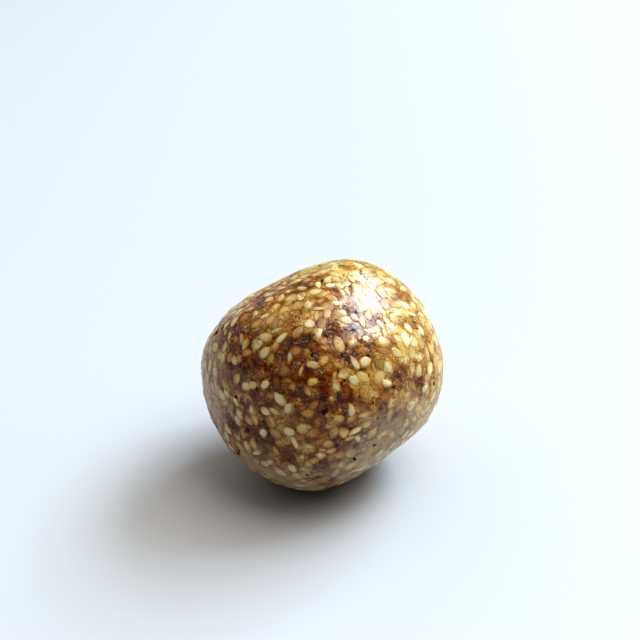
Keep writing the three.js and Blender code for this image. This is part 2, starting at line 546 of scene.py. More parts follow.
def placed(points):
    """Points about the sphere's centre, put where the ball stands, none of them below the floor."""
    moved = points + SPHERE_CENTRE
    moved[..., 2] = np.maximum(moved[..., 2], 0)
    return moved


# ---- Modelling by hand, and copies of what was modelled ----


def select_none():
    bpy.ops.object.select_all(action="DESELECT")


def points_of(piece):
    flat = np.empty(3 * len(piece.data.vertices))
    piece.data.vertices.foreach_get("co", flat)
    return flat.reshape(-1, 3)


def select_points(piece, chosen):
    """Selects some vertices of the active piece and leaves it in edit mode."""
    bpy.ops.object.mode_set(mode="EDIT")
    bpy.ops.mesh.select_mode(type="VERT")
    bpy.ops.mesh.select_all(action="DESELECT")
    bpy.ops.object.mode_set(mode="OBJECT")
    piece.data.vertices.foreach_set("select", chosen)
    bpy.ops.object.mode_set(mode="EDIT")


def taken_away(piece):
    """The points and faces of a modelled form, whose own object is then removed."""
    points = points_of(piece)
    faces = [tuple(face.vertices) for face in piece.data.polygons]
    mesh = piece.data
    bpy.data.objects.remove(piece)
    bpy.data.meshes.remove(mesh)
    return points, faces


def seed_form():
    """One seed, from -1 to 1 each way: round at +X, pointed at -X, flat sides up and down."""
    select_none()
    bpy.ops.mesh.primitive_uv_sphere_add(segments=SEED_SEGMENTS, ring_count=SEED_RINGS, radius=1)
    piece = bpy.context.object
    select_points(piece, points_of(piece)[:, 0] < -PINCHED_FROM)
    bpy.ops.transform.resize(
        value=PINCH, center_override=(0, 0, 0),
        use_proportional_edit=True, proportional_edit_falloff="SMOOTH", proportional_size=1.0,
    )
    bpy.ops.object.mode_set(mode="OBJECT")
    points, faces = taken_away(piece)
    points[:, 1] *= 1 + SEED_TAPER * points[:, 0]
    points[:, 2] = np.sign(points[:, 2]) * np.abs(points[:, 2]) ** SEED_FLATNESS
    return points, faces


def bit_form(seed, jag):
    """One broken bit, about 1 in radius, with uneven corners."""
    select_none()
    bpy.ops.mesh.primitive_ico_sphere_add(subdivisions=2, radius=1)
    piece = bpy.context.object
    bpy.ops.object.mode_set(mode="EDIT")
    bpy.ops.mesh.select_all(action="SELECT")
    bpy.ops.transform.vertex_random(offset=jag, uniform=BIT_EVENNESS, seed=seed)
    bpy.ops.object.mode_set(mode="OBJECT")
    return taken_away(piece)


def joined(name, copies, faces, material, traits):
    """One mesh of many copies of a form. traits are its named values, for each point of each copy."""
    count, size, _ = copies.shape
    corners = np.array([len(face) for face in faces])
    loops = np.concatenate([np.array(face) for face in faces])
    offsets = np.arange(count)[:, None] * size
    mesh = bpy.data.meshes.new(name)
    mesh.vertices.add(count * size)
    mesh.vertices.foreach_set("co", placed(copies).ravel())
    mesh.loops.add(count * len(loops))
    mesh.loops.foreach_set("vertex_index", (loops[None] + offsets).ravel())
    mesh.polygons.add(count * len(faces))
    starts = np.concatenate(((0,), np.cumsum(np.tile(corners, count))[:-1]))
    mesh.polygons.foreach_set("loop_start", starts)
    mesh.update(calc_edges=True)
    return finished(name, mesh, material, traits)


def finished(name, mesh, material, traits):
    """A smooth piece of the ladoo that stands for its solid, with a material and named values."""
    for trait, values in traits.items():
        attribute = mesh.attributes.new(trait, "FLOAT", "POINT")
        attribute.data.foreach_set("value", np.ascontiguousarray(values, np.float32).ravel())
    mesh.validate()
    piece = bpy.data.objects.new(name, mesh)
    bpy.context.scene.collection.objects.link(piece)
    mesh.materials.append(material)
    mesh.shade_smooth()
    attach(piece, BODY)
    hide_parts(NODE)
    return piece


# ---- Seeds where they lie ----


class Lie:
    """How a set of seeds lies: where each is, which way it turns, how large it is and how it shows."""

    def __init__(self, directions, spins, lengths, widths, thicknesses, tones):
        self.directions = directions
        self.spins = spins
        self.lengths = lengths
        self.widths = widths
        self.thicknesses = thicknesses
        self.tones = tones

    def where(self, chosen):
        kept = Lie.__new__(Lie)
        kept.__dict__ = {name: values[chosen] for name, values in self.__dict__.items()}
        return kept

    def __len__(self):
        return len(self.directions)


def proud_seeds(seeds):
    """The seeds that stand proud, by the solid's own rule and draws."""
    draw = draws(SEED_DRAWS)
    places = golden_spiral(SEED_PLACES)
    spacing = math.sqrt(4 * math.pi / SEED_PLACES)
    rows = []
    for place, first, second in zip(places, *sideways(places)):
        place = place + first * spacing * either(SEED_WANDER, draw())
        direction = unit(place + second * spacing * either(SEED_WANDER, draw()))
        size = 1 + either(SEED_SIZE_SPREAD, draw())
        stands = between(*SEED_PROUD, draw())
        spin = 2 * math.pi * draw()
        tilt = math.radians(either(SEED_TILT, draw()))
        roll = math.radians(either(SEED_ROLL, draw()))
        rows.append((*direction, size, stands, spin, tilt, roll))
    rows = np.array(rows)
    directions = rows[:, :3]
    sizes, stands, spins, tilts, rolls = rows[:, 3:].T
    tones = np.random.default_rng(TONE_DRAWS).random(SEED_PLACES)
    measures = (sizes * seeds.length, sizes * seeds.width, sizes * seeds.thickness)
    lie = Lie(directions, spins, *measures, tones)
    lie.stands = stands
    lie.tilts = tilts
    lie.rolls = rolls
    lie.normals = film_normals(directions, ball_radius)
    sunk = lie.thicknesses / 2 - stands
    lie.centres = film_points(directions, ball_radius) - lie.normals * sunk[:, None]
    veil(lie, np.random.default_rng(PROUD.draws), PROUD)
    return lie.where(lie.centres[:, 2] >= SEED_CLEAR_OF_REST - REST_DEPTH)


def scattered(count, seed, taken, apart):
    """Up to count random directions, each at least apart metres from those taken and from each other."""
    random = np.random.default_rng(seed)
    candidates = unit(random.normal(size=(CHANCES * count, 3)))
    chosen = []
    nearest = math.cos(apart / BALL_RADIUS)
    held = np.array(taken).reshape(-1, 3)
    for candidate in candidates:
        if len(chosen) == count:
            break
        if len(held) and np.max(held @ candidate) > nearest:
            continue
        chosen.append(candidate)
        held = np.vstack((held, candidate))
    return np.array(chosen)


def sown(seeds, count, layer, taken):
    """Seeds at random places, with sizes, depths and slopes that vary, some on their narrow side."""
    directions = scattered(count, layer.draws, taken, layer.apart)
    random = np.random.default_rng(layer.draws + 1)
    count = len(directions)
    sizes = 1 + SEED_SIZE_SPREAD * either(1, random.random(count))
    on_side = random.random(count) < layer.narrow
    narrow = np.where(on_side, between(*NARROW_WIDTHS, random.random(count)), 1)
    stretch = between(*STRETCH, random.random(count))
    lie = Lie(
        directions,
        2 * math.pi * random.random(count),
        sizes * stretch * seeds.length * SOWN_SIZE,
        sizes / stretch * narrow * seeds.width * SOWN_SIZE,
        sizes * seeds.thickness,
        random.random(count),
    )
    lie.domes = between(*DOMES, random.random(count))
    veil(lie, random, layer)
    return lie


def veil(lie, random, layer):
    """How the film covers each seed: how deep over its middle and ends, and how blurred its outline."""
    count = len(lie)
    deep = random.random(count)
    lie.depths = between(*layer.depths, deep)
    lie.blurs = between(*layer.blurs, between(random.random(count), deep, BLUR_BY_DEPTH))
    lie.dips = either(SLOPE, random.random(count))
    lie.leans = either(SLOPE, random.random(count))
    # how strong the painted shade beside each seed is
    lie.shades = random.random(count)


def depth_of(x, y, out, lie, chosen):
    """How deep under the film a seed's top lies, at points of its form from -1 to 1 each way, where out
    goes from 0 in its middle to 1 at its outline."""
    # Partly painted shade: the film is made deeper towards each seed's outline, which darkens the seed
    # there and shades it round.
    fall_and_shade = (1 - np.sqrt(np.maximum(0, 1 - out**2))) * lie.thicknesses[chosen] * SEED_FALL_AND_SHADE
    slope = lie.dips[chosen] * x + lie.leans[chosen] * y
    top = np.maximum(0, lie.depths[chosen] + slope + fall_and_shade)
    blur = lie.blurs[chosen]
    return between(top, DEEPEST, smooth(out, 1 - blur, 1 + BLUR_BEYOND * blur))


def turned(spins, directions):
    """Each copy's own long and short way along the film."""
    first, second = sideways(directions)
    short, long = rotated(second, first, spins)
    return long, short


def rigid_copies(form, lie):
    """Whole seeds, each turned, tilted and rolled as the solid's are."""
    first, second = sideways(lie.normals)
    x = form[:, 0] * lie.lengths[:, None] / 2
    y = form[:, 1] * lie.widths[:, None] / 2
    rounded = np.sign(form[:, 2]) * np.abs(form[:, 2]) ** (SEED_ROUNDNESS / SEED_FLATNESS)
    z = rounded * lie.thicknesses[:, None] / 2
    y, z = rotated(y, z, lie.rolls)
    z, x = rotated(z, x, lie.tilts)
    x, y = rotated(x, y, lie.spins)
    copies = lie.centres[:, None]
    for axis, way in ((first, x), (second, y), (lie.normals, z)):
        copies = copies + axis[:, None] * way[:, :, None]
    return copies


def pressed_copies(form, lie, layer):
    """Seeds pressed into the film, which their tops follow: each crowns by its dome, with its rim sunk."""
    first, second = turned(lie.spins, lie.directions)
    along = form[:, 0] * lie.lengths[:, None] / 2
    across = form[:, 1] * lie.widths[:, None] / 2
    spread = film_points(lie.directions)[:, None]
    for axis, way in ((first, along), (second, across)):
        spread = spread + axis[:, None] * way[:, :, None]
    directions = unit(spread)
    crown = smooth(np.abs(form[:, 2]) ** (1 / SEED_FLATNESS), 0, CROWN_TO)
    top = crown * ((lie.domes * layer.dome)[:, None] + layer.rim) - layer.rim
    bottom = -layer.rim - crown * PRESSED_THICKNESS * lie.thicknesses[:, None]
    above = np.where(form[:, 2] >= 0, top, bottom)
    return film_points(directions) + film_normals(directions) * above[:, :, None]


def widening(x):
    """Width of a seed's outline, with its taper and its pinch, as a share of a plain oval's."""
    taper = SEED_TAPER * np.clip(x, -OUTLINE_ENDS, OUTLINE_ENDS)
    pinch = OUTLINE_PINCH * smooth(x, *OUTLINE_PINCHED)
    return np.maximum(OUTLINE_LEAST, 1 + taper - pinch)


def footprints(lie, directions, margin):
    """For each seed: which points of the film are near it, where they lie in its form's own x and y, and
    how far out they are, 1 being its outline."""
    first, second = turned(lie.spins, lie.directions)
    centres = film_points(lie.directions)
    for index in range(len(lie)):
        reach = lie.lengths[index] / 2 * margin + NEAR_SEED
        near = np.nonzero(directions @ lie.directions[index] > math.cos(reach / BALL_RADIUS))[0]
        offsets = directions[near] * np.linalg.norm(centres[index]) - centres[index]
        x = offsets @ first[index] / (lie.lengths[index] / 2)
        y = offsets @ second[index] / (lie.widths[index] / 2)
        yield index, near, x, y, np.hypot(x, y / widening(x))


# ---- The plan: what lies where, worked out once ----


class Plan:
    """Where all seeds and bits lie, for every operator."""

    def __init__(self, seeds, bits):
        self.form, self.faces = seed_form()
        self.proud = proud_seeds(seeds)
        taken = self.proud.directions
        self.flush = sown(seeds, seeds.flush, FLUSH, taken)
        taken = np.vstack((taken, self.flush.directions))
        self.veiled = sown(seeds, seeds.veiled, VEILED, taken)
        self.buried = sown(seeds, seeds.buried, BURIED, ())
        taken = np.vstack((taken, self.veiled.directions))
        self.crumbs = scattered(bits.crumbs, CRUMBS.place_draws, taken, CRUMBS.apart)
        self.specks = scattered(bits.specks, SPECKS.place_draws, (), SPECKS.apart)


_plan = []


def plan(context):
    if not _plan:
        _plan.append(Plan(context.scene.ladoo_seeds, context.scene.ladoo_bits))
    return _plan[0]


# ---- The film's relief and what shows through it ----


def fractal(points, size):
    """Noise from about -1 to 1, with features of that size, at each point."""
    return np.array([noise.fractal(Vector(point), 1.0, 2.1, 3) for point in points / size])


def rough_mask(directions):
    """How rough the film is, from 0 to 1."""
    mask = np.zeros(len(directions))
    far, size = ROUGH_EDGE
    wander = far * fractal(directions * BALL_RADIUS, size)
    for azimuth, elevation, radius in ROUGH_SPOTS:
        away = np.arccos(np.clip(directions @ facing(azimuth, elevation), -1, 1)) * BALL_RADIUS
        mask = np.maximum(mask, smooth(away + wander, radius, ROUGH_CORE * radius))
    return mask


def film_rise(lie, directions, jaggery):
    """How far the film is drawn up round the proud seeds."""
    rise = np.zeros(len(directions))
    for index, near, _, _, out in footprints(lie, directions, FILM_MARGIN):
        climb = jaggery.climb * lie.stands[index]
        beyond = np.maximum(0, out - CLIMB_FROM) * lie.widths[index] / 2
        rise[near] = np.maximum(rise[near], climb * np.exp(-((beyond / jaggery.reach) ** 2)))
    return rise


def film_dents(lies, directions):
    """How deep the hollows under the flush and the veiled seeds are."""
    dents = np.zeros(len(directions))
    for lie, layer in ((lies.flush, FLUSH), (lies.veiled, VEILED)):
        for _, near, _, _, out in footprints(lie, directions, FILM_MARGIN):
            dents[near] = np.maximum(dents[near], layer.dent * smooth(out, *DENT_EDGE))
    return dents


def what_shows(lies, directions):
    """How deep under the film the topmost seed lies, and its tone, with painted shade beside the clear
    seeds, given as deeper film.
    """
    depth = np.full(len(directions), DEEPEST)
    tone = np.full(len(directions), NO_SEED_TONE)
    for lie in (lies.buried, lies.veiled, lies.flush, lies.proud):
        for index, near, x, y, out in footprints(lie, directions, COLOUR_MARGIN):
            own = depth_of(x, y, out, lie, index)
            nearer = own < depth[near]
            depth[near] = np.where(nearer, own, depth[near])
            tone[near] = np.where(nearer, lie.tones[index], tone[near])
    for lie in (lies.proud, lies.flush):
        for index, near, _, _, out in footprints(lie, directions, PAINTED_SHADE_MARGIN):
            painted_shade_beside = smooth(out, *PAINTED_SHADE_INSIDE) * smooth(out, *PAINTED_SHADE_OUTSIDE)
            painted_shade_beside = painted_shade_beside * PAINTED_SHADE * lie.shades[index]
            depth[near] = np.maximum(depth[near], between(depth[near], DEEPEST, painted_shade_beside))
    return depth, tone


def film_relief(lies, directions, depth, rough, jaggery):
    """How far the film stands above the plain pressed ball."""
    points = film_points(directions)
    dents = film_dents(lies, directions)
    level = 1 - smooth(dents, 0, LEVEL_FROM)
    swell = SWELL * np.exp(-depth / SWELL_DEPTH) * level
    (height, size), (rough_height, rough_size) = UNEVENNESS, ROUGHNESS
    uneven = height * fractal(points, size) + rough * rough_height * fractal(points, rough_size)
    on_rest = smooth(points[:, 2], *(end - REST_DEPTH for end in RELIEF_ENDS))
    rise = film_rise(lies.proud, directions, jaggery)
    return (rise + swell + uneven * level - dents) * (1 - on_rest)


# ---- Shader maths ----


class Value:
    """A socket whose arithmetic adds Math nodes."""

    def __init__(self, shader, socket):
        self.shader = shader
        self.socket = socket

    def _math(self, operation, first, second):
        return self.shader.node("Math", {"operation": operation}, {0: first, 1: second})

    def __add__(self, other):
        return self._math("ADD", self, other)

    def __radd__(self, other):
        return self._math("ADD", other, self)

    def __sub__(self, other):
        return self._math("SUBTRACT", self, other)

    def __rsub__(self, other):
        return self._math("SUBTRACT", other, self)

    def __mul__(self, other):
        return self._math("MULTIPLY", self, other)

    def __rmul__(self, other):
        return self._math("MULTIPLY", other, self)


class Shader:
    """The node tree of a material or of the world."""

    def __init__(self, owner):
        self.owner = owner
        owner.use_nodes = True
        self.tree = owner.node_tree
        self.tree.nodes.clear()

    def node(self, kind, settings=None, sockets=None, output=0):
        """Adds a node: its settings first, then the values or links of its sockets. Gives one output."""
        made = self.tree.nodes.new("ShaderNode" + kind)
        for name, setting in (settings or {}).items():
            setattr(made, name, setting)
        for name, value in (sockets or {}).items():
            if isinstance(value, Value):
                self.tree.links.new(value.socket, made.inputs[name])
            else:
                made.inputs[name].default_value = value
        return Value(self, made.outputs[output]) if made.outputs else None

    def vector(self, operation, first, second, output="Vector"):
        """Vector maths on two vectors."""
        return self.node("VectorMath", {"operation": operation}, {0: first, 1: second}, output)

    def scaled(self, vector, by):
        return self.node("VectorMath", {"operation": "SCALE"}, {0: vector, "Scale": by})

    def centred(self, colour):
        """A random colour as a vector about 0."""
        return self.vector("SUBTRACT", colour, (0.5, 0.5, 0.5))

    def attribute(self, name):
        return self.node("Attribute", {"attribute_name": name}, output="Fac")

    def millimetres(self):
        """The place on the ladoo, in millimetres."""
        return self.scaled(self.node("TexCoord", output="Object"), 1 / MM)

    def noise(self, place, size, detail=2, roughness=0.5):
        """Noise from 0 to 1 with features of about that size, in millimetres."""
        sockets = {"Vector": place, "Scale": 1 / size, "Detail": detail, "Roughness": roughness}
        return self.node("TexNoise", None, sockets)

    def patches(self, place, size, ends, detail, roughness):
        """Soft-edged patches: 0 where the noise is at the first end, and 1 where it is at the second."""
        return self.step(self.noise(place, size, detail, roughness), *ends)

    def warped(self, place, size, by):
        """The place, pushed about by noise."""
        sockets = {"Vector": place, "Scale": 1 / size, "Detail": 1}
        push = self.node("TexNoise", None, sockets, output="Color")
        return self.vector("ADD", place, self.scaled(self.centred(push), by))

    def step(self, value, low, high):
        """A soft step from 0 at low to 1 at high, or the other way where high is less than low."""
        rising = low < high
        ends = {1: low, 2: high, 3: 0, 4: 1} if rising else {1: high, 2: low, 3: 1, 4: 0}
        return self.node("MapRange", {"interpolation_type": "SMOOTHSTEP"}, {0: value, **ends})

    def mix(self, share, first, second, blend="MIX"):
        """Two colours mixed."""
        first, second = (c if isinstance(c, Value) else (*c, 1) for c in (first, second))
        settings = {"data_type": "RGBA", "blend_type": blend}
        return self.node("Mix", settings, {0: share, 6: first, 7: second}, output=2)

    def bump(self, height):
        """A normal bent by a height in millimetres."""
        return self.node("Bump", None, {"Strength": 1, "Distance": MM, "Height": height})

    def surface(self, sockets):
        shade = self.node("BsdfPrincipled", None, sockets)
        return self.shown(shade)

    def shown(self, shade):
        """Ends the tree with that shader, and gives what owns it."""
        self.node("OutputMaterial", None, {"Surface": shade})
        return self.owner


def painted(name):
    """A new material's node tree."""
    return Shader(bpy.data.materials.new(name))


# ---- The film and what is in it ----


def through_film(shader, colour, depth, film):
    """A colour seen through a depth of jaggery, given in millimetres."""
    seen = shader.mix(1, colour, shader.vector("POWER", film.clear, depth), "MULTIPLY")
    seen = shader.mix(shader.step(depth, 0, DEEPEST / MM), seen, film.own, "ADD")
    # Clouded film, partly a painted sheen, hides what lies under it
    hidden = shader.step(depth, 0, MILK_AND_SHEEN_DEPTH) * MILK_AND_SHEEN_HIDES_MORE + MILK_AND_SHEEN_HIDES
    return shader.mix(film.milk_and_sheen * hidden, seen, MILK_AND_SHEEN)


def milk_and_sheen_mask(shader, place):
    """How clouded the film is, partly as a painted sheen, from 0 to 1."""
    wander = shader.noise(place, 5.0, 3, 0.55) * (2 * MILK_AND_SHEEN_WANDER) - MILK_AND_SHEEN_WANDER
    clear = 1
    for azimuth, elevation, radius, strength in MILK_AND_SHEEN_SPOTS:
        middle = (facing(azimuth, elevation) * BALL_RADIUS + SPHERE_CENTRE) / MM
        away = shader.vector("DISTANCE", place, middle, "Value")
        clear = (1 - shader.step(away + wander, radius, radius * MILK_AND_SHEEN_CORE) * strength) * clear
    return 1 - clear


class Film:
    """The jaggery's own unevenness, with painted shade on its side away from the window and a painted
    sheen on its clouded spots, the same wherever a material reads it.
    """

    def __init__(self, shader, place, jaggery):
        drifting = shader.warped(place, *DRIFT)
        self.own = jaggery.own
        self.clouds = shader.patches(drifting, *CLOUDS)
        self.blotches = shader.patches(drifting, *BLOTCHES)
        self.grain = shader.patches(drifting, *GRAIN)
        # Painted shade: on top of its random well cooked patches, the jaggery is painted browner towards
        # the side away from the window.
        toward = tuple(facing(*PAINTED_SHADE_SIDE) / (BALL_RADIUS / MM))
        side = shader.vector("DOT_PRODUCT", place, toward, "Value")
        cooked_and_shaded = shader.noise(place, COOKED_SIZE) + side * PAINTED_SHADE_BY_SIDE
        self.cooked_and_shaded = shader.step(cooked_and_shaded, *COOKED_NOISE)
        self.burnt = shader.patches(drifting, *BURNT) * self.cooked_and_shaded
        self.clear = shader.mix(self.cooked_and_shaded, jaggery.golden, jaggery.brown)
        crazed = {"Vector": drifting, "Scale": 1 / CRACK_CELL}
        edges = shader.node("TexVoronoi", {"feature": "DISTANCE_TO_EDGE"}, crazed)
        self.cracks = shader.step(edges, *CRACK) * shader.patches(place, *CRACKED)
        self.milk_and_sheen = milk_and_sheen_mask(shader, place)

    def over(self, depth, patches):
        """That depth of film with its unevenness, and patches of more film on top, in millimetres."""
        uneven = depth * (self.clouds * 0.5 + self.grain * 0.7 + self.cooked_and_shaded * 0.44)
        return uneven + (self.blotches * self.grain + self.burnt * 3) * patches


class Crystals:
    """Sugar crystals: cells that each lean their own way, with gaps between them that are painted darker
    as shade, and flakes on them.
    """

    def __init__(self, shader, jostled):
        cells = {"Vector": shader.warped(jostled, *CRYSTAL_JOSTLE), "Scale": 1 / CRYSTAL_CELL}
        flaked = cells | {"Detail": 1.5, "Roughness": 0.6}
        self.hollow = shader.node("TexVoronoi", {"normalize": True}, flaked)
        self.shaded_gaps = shader.step(self.hollow, *CRYSTAL_GAP_SHADE)
        shade = shader.node("TexVoronoi", None, flaked, output="Color")
        self.flakes = shader.node("SeparateColor", None, {0: shade})
        middles = shader.node("TexVoronoi", None, cells, output="Position")
        leans = shader.centred(shader.node("TexVoronoi", None, cells, output="Color"))
        offsets = shader.vector("SUBTRACT", cells["Vector"], middles)
        self.facets = shader.vector("DOT_PRODUCT", leans, offsets, "Value")


def jaggery_pits(shader, place, jostled, film, sugary):
    """Pits, pores, hollows between the seeds and cracks, from 0 to 1: dents that are painted dark as
    shade.
    """
    pits = shader.patches(place, *PITS) * (sugary * 0.65 + 0.35)
    cells = shader.node("TexVoronoi", None, {"Vector": jostled, "Scale": 1 / PORE_CELL})
    pores = shader.step(cells, *PORE)
    hollows = shader.patches(shader.warped(place, *HOLLOW_DRIFT), *HOLLOWS)
    between_seeds = shader.step(shader.attribute("depth"), 0.5, 1.2)
    for more in (pores, hollows * between_seeds, film.cracks * 0.8):
        pits = pits + (1 - pits) * more
    return pits * (1 - film.milk_and_sheen * 0.75)


# ---- Materials ----


def seed_tones(shader, tone, seeds):
    """A seed's own colour for a tone from 0, pale, to 1, toasted."""
    light = shader.mix(shader.step(tone, 0.1, 0.6), seeds.pale, seeds.golden)
    own = shader.mix(shader.step(tone, 0.6, 1), light, seeds.toasted)
    varied = shader.node("Math", {"operation": "FRACT"}, {0: tone * 43}) * 0.35
    return shader.mix(varied, own, DULL_SEED)


def jaggery_material(jaggery, seeds):
    """Glassy where it set smooth, and sparkling where the sugar in it crystallised."""
    shader = painted("jaggery")
    place = shader.millimetres()
    film = Film(shader, place, jaggery)
    jostled = shader.warped(place, *JOSTLE)
    crystals = Crystals(shader, jostled)
    rough = shader.attribute("rough")
    grainy = shader.patches(place, *SUGARY) * (film.cooked_and_shaded * 0.65 + 0.15)
    sugary = grainy * (1 - rough) + rough
    # Painted shade in the grooves between the crystals, as deeper film, with the flakes' own tones
    flakes_and_gap_shade = crystals.shaded_gaps * 1.2 + shader.step(crystals.flakes, 0.3, 0.9) * 1.5
    depth = film.over(shader.attribute("depth"), 0.4) * (1 - sugary * 0.55) + sugary * flakes_and_gap_shade
    own = seed_tones(shader, shader.attribute("tone"), seeds)
    pits = jaggery_pits(shader, place, jostled, film, sugary)
    height = (
        film.grain * 0.05
        + film.blotches * 0.06
        + shader.noise(place, 1.1) * 0.08
        + (crystals.flakes * 0.05 + crystals.facets * 2 - crystals.hollow * 0.1) * sugary
        + pits * -0.1
    )
    common = {
        # painted shade in the pits, pores, hollows and cracks
        "Base Color": shader.mix(pits * 0.9, through_film(shader, own, depth, film), PAINTED_PIT_SHADE),
        "Subsurface Weight": 0.3,
        "Subsurface Radius": (1.0, 0.45, 0.15),
        "Subsurface Scale": 0.8 * MM,
        "Normal": shader.bump(height),
    }
    glassy = shader.node("BsdfPrincipled", None, common | {
        "Roughness": 0.35,
        "IOR": 1.4,
        "Specular IOR Level": 0,
        "Coat Weight": 1 - pits * 0.8,
        "Coat Roughness": jaggery.film_roughness,
        "Coat IOR": jaggery.film_ior,
    })
    sparkling = shader.node("BsdfPrincipled", None, common | {
        "Roughness": crystals.shaded_gaps * 0.15 + pits * 0.4 + 0.09,
        "IOR": jaggery.film_ior,
    })
    return shader.shown(shader.node("MixShader", None, {0: sugary, 1: glassy, 2: sparkling}))


def seed_material(name, jaggery, seeds):
    """A seed's own colour, seen through the film where that covers it, with painted shade towards its
    outline and in pits of the film over it.
    """
    shader = painted(name)
    place = shader.millimetres()
    film = Film(shader, place, jaggery)
    fine = shader.noise(place, 0.3, 3, 0.6)
    own = seed_tones(shader, shader.attribute("tone"), seeds)
    own = shader.mix(fine * 0.3, own, SEED_MOTTLE)
    own = shader.mix(shader.attribute("tip") * 0.6, own, seeds.toasted)
    depth = shader.attribute("depth")
    covered = film.over(depth, shader.step(depth, 0.05, 0.5) * 0.4 + 0.1)
    # Painted shade in pits of the film over a seed
    pits = shader.patches(place, *SEED_PITS) * shader.step(depth, 0.1, 0.3)
    height = fine * 0.02 + film.grain * 0.03 + film.blotches * 0.03
    return shader.surface({
        "Base Color": shader.mix(pits * 0.5, through_film(shader, own, covered, film), PAINTED_SEED_PIT_SHADE),
        "Roughness": fine * 0.2 + 0.3,
        "IOR": 1.4,
        "Specular IOR Level": 0,
        "Subsurface Weight": 0.25,
        "Subsurface Radius": (1.0, 0.7, 0.35),
        "Subsurface Scale": 0.5 * MM,
        "Coat Weight": 1 - pits * 0.6,
        "Coat Roughness": jaggery.film_roughness,
        "Coat IOR": jaggery.film_ior,
        "Normal": shader.bump(height),
    })


def speck_material(bits, jaggery):
    shader = painted("char_specks")
    fine = shader.noise(shader.millimetres(), 0.2, 3, 0.6)
    return shader.surface({
        "Base Color": shader.mix(shader.step(fine, 0.5, 0.8) * 0.5, bits.scorched, jaggery.own),
        "Roughness": fine * 0.3 + 0.35,
        "IOR": 1.3,
        "Coat Weight": 0.15,
        "Coat Roughness": jaggery.film_roughness,
        "Normal": shader.bump(fine * 0.05),
    })


# ---- Operators: one for each piece or group of like pieces ----


def ball_mesh():
    """A ball of even squares, from a cube cut up and blown round, and the directions of its points."""
    select_none()
    bpy.ops.mesh.primitive_cube_add(size=2)
    piece = bpy.context.object
    bpy.ops.object.mode_set(mode="EDIT")
    bpy.ops.mesh.select_all(action="SELECT")
    for cuts in CUBE_CUTS:
        bpy.ops.mesh.subdivide(number_cuts=cuts)
    bpy.ops.object.mode_set(mode="OBJECT")
    mesh = piece.data
    points = points_of(piece)
    bpy.data.objects.remove(piece)
    return mesh, unit(np.tan(points * math.pi / 4))


class LADOO_OT_jaggery(bpy.types.Operator):
    """Makes the pressed ball of jaggery, with its film, hollows and the buried seeds' colours"""

    bl_idname = "ladoo.jaggery"
    bl_label = "Jaggery"

    def execute(self, context):
        jaggery = context.scene.ladoo_jaggery
        lies = plan(context)
        mesh, directions = ball_mesh()
        # the depth carries the painted shade beside the clear seeds too
        depth, tone = what_shows(lies, directions)
        rough = rough_mask(directions)
        relief = film_relief(lies, directions, depth, rough, jaggery)
        points = film_points(directions) + film_normals(directions) * relief[:, None]
        mesh.name = "jaggery"
        mesh.vertices.foreach_set("co", placed(points).ravel())
        mesh.update()
        traits = {"depth": depth / MM, "tone": tone, "rough": rough}
        material = jaggery_material(jaggery, context.scene.ladoo_seeds)
        piece = finished("jaggery", mesh, material, traits)
        return {"FINISHED"}


class LADOO_OT_seeds(bpy.types.Operator):
    """Lays the seeds that show: proud, flush and just under the film, one piece for each kind"""

    bl_idname = "ladoo.seeds"
    bl_label = "Sesame seeds"

    def execute(self, context):
        jaggery = context.scene.ladoo_jaggery
        seeds = context.scene.ladoo_seeds
        lies = plan(context)
        form = lies.form
        x, y, z = form.T
        out = np.sqrt(np.maximum(0, 1 - np.abs(z) ** (2 / SEED_FLATNESS)))
        tip = smooth(x, *TIP)
        layers = ((lies.proud, PROUD), (lies.flush, FLUSH), (lies.veiled, VEILED))
        for kind, tones, *ranges in KINDS:
            batches = []
            for (lie, layer), (low, high) in zip(layers, ranges):
                some = lie.where((lie.tones >= low) & (lie.tones < high))
                if not len(some):
                    continue
                depth = depth_of(x, y, out, some, (slice(None), None))
                tone = between(*tones, (some.tones - low) / (high - low))[:, None]
                rigid = layer is PROUD
                copies = rigid_copies(form, some) if rigid else pressed_copies(form, some, layer)
                spread = (np.broadcast_to(values, depth.shape) for values in (tone, tip))
                batches.append((copies, depth / MM, *spread))
            copies, depth, tone, tips = (np.concatenate(values) for values in zip(*batches))
            traits = {"depth": depth, "tone": tone, "tip": tips}
            material = seed_material(f"sesame_{kind}", jaggery, seeds)
            piece = joined(f"sesame_{kind}", copies, lies.faces, material, traits)
        return {"FINISHED"}


def lay_bits(bits, directions):
    """Bits half sunk in the film, each a copy of one of a few forms, and the faces of those forms."""
    forms, faces = zip(*(bit_form(seed, bits.jag) for seed in bits.forms))
    random = np.random.default_rng(bits.lay_draws)
    count = len(directions)
    shapes = np.stack(forms)[random.integers(len(forms), size=count)]
    radius = between(*bits.radii, random.random(count) ** 2)[:, None, None]
    spins = 2 * math.pi * random.random(count)
    long, short = (way[:, None] for way in turned(spins, directions))
    width = between(*BIT_WIDTHS, random.random(count))[:, None, None]
    x, y, z = (shapes[:, :, axis, None] for axis in range(3))
    normals = film_normals(directions)[:, None]
    shape = long * x + short * y * width + normals * BIT_HEIGHT * z
    return film_points(directions)[:, None] + radius * shape, faces[0]


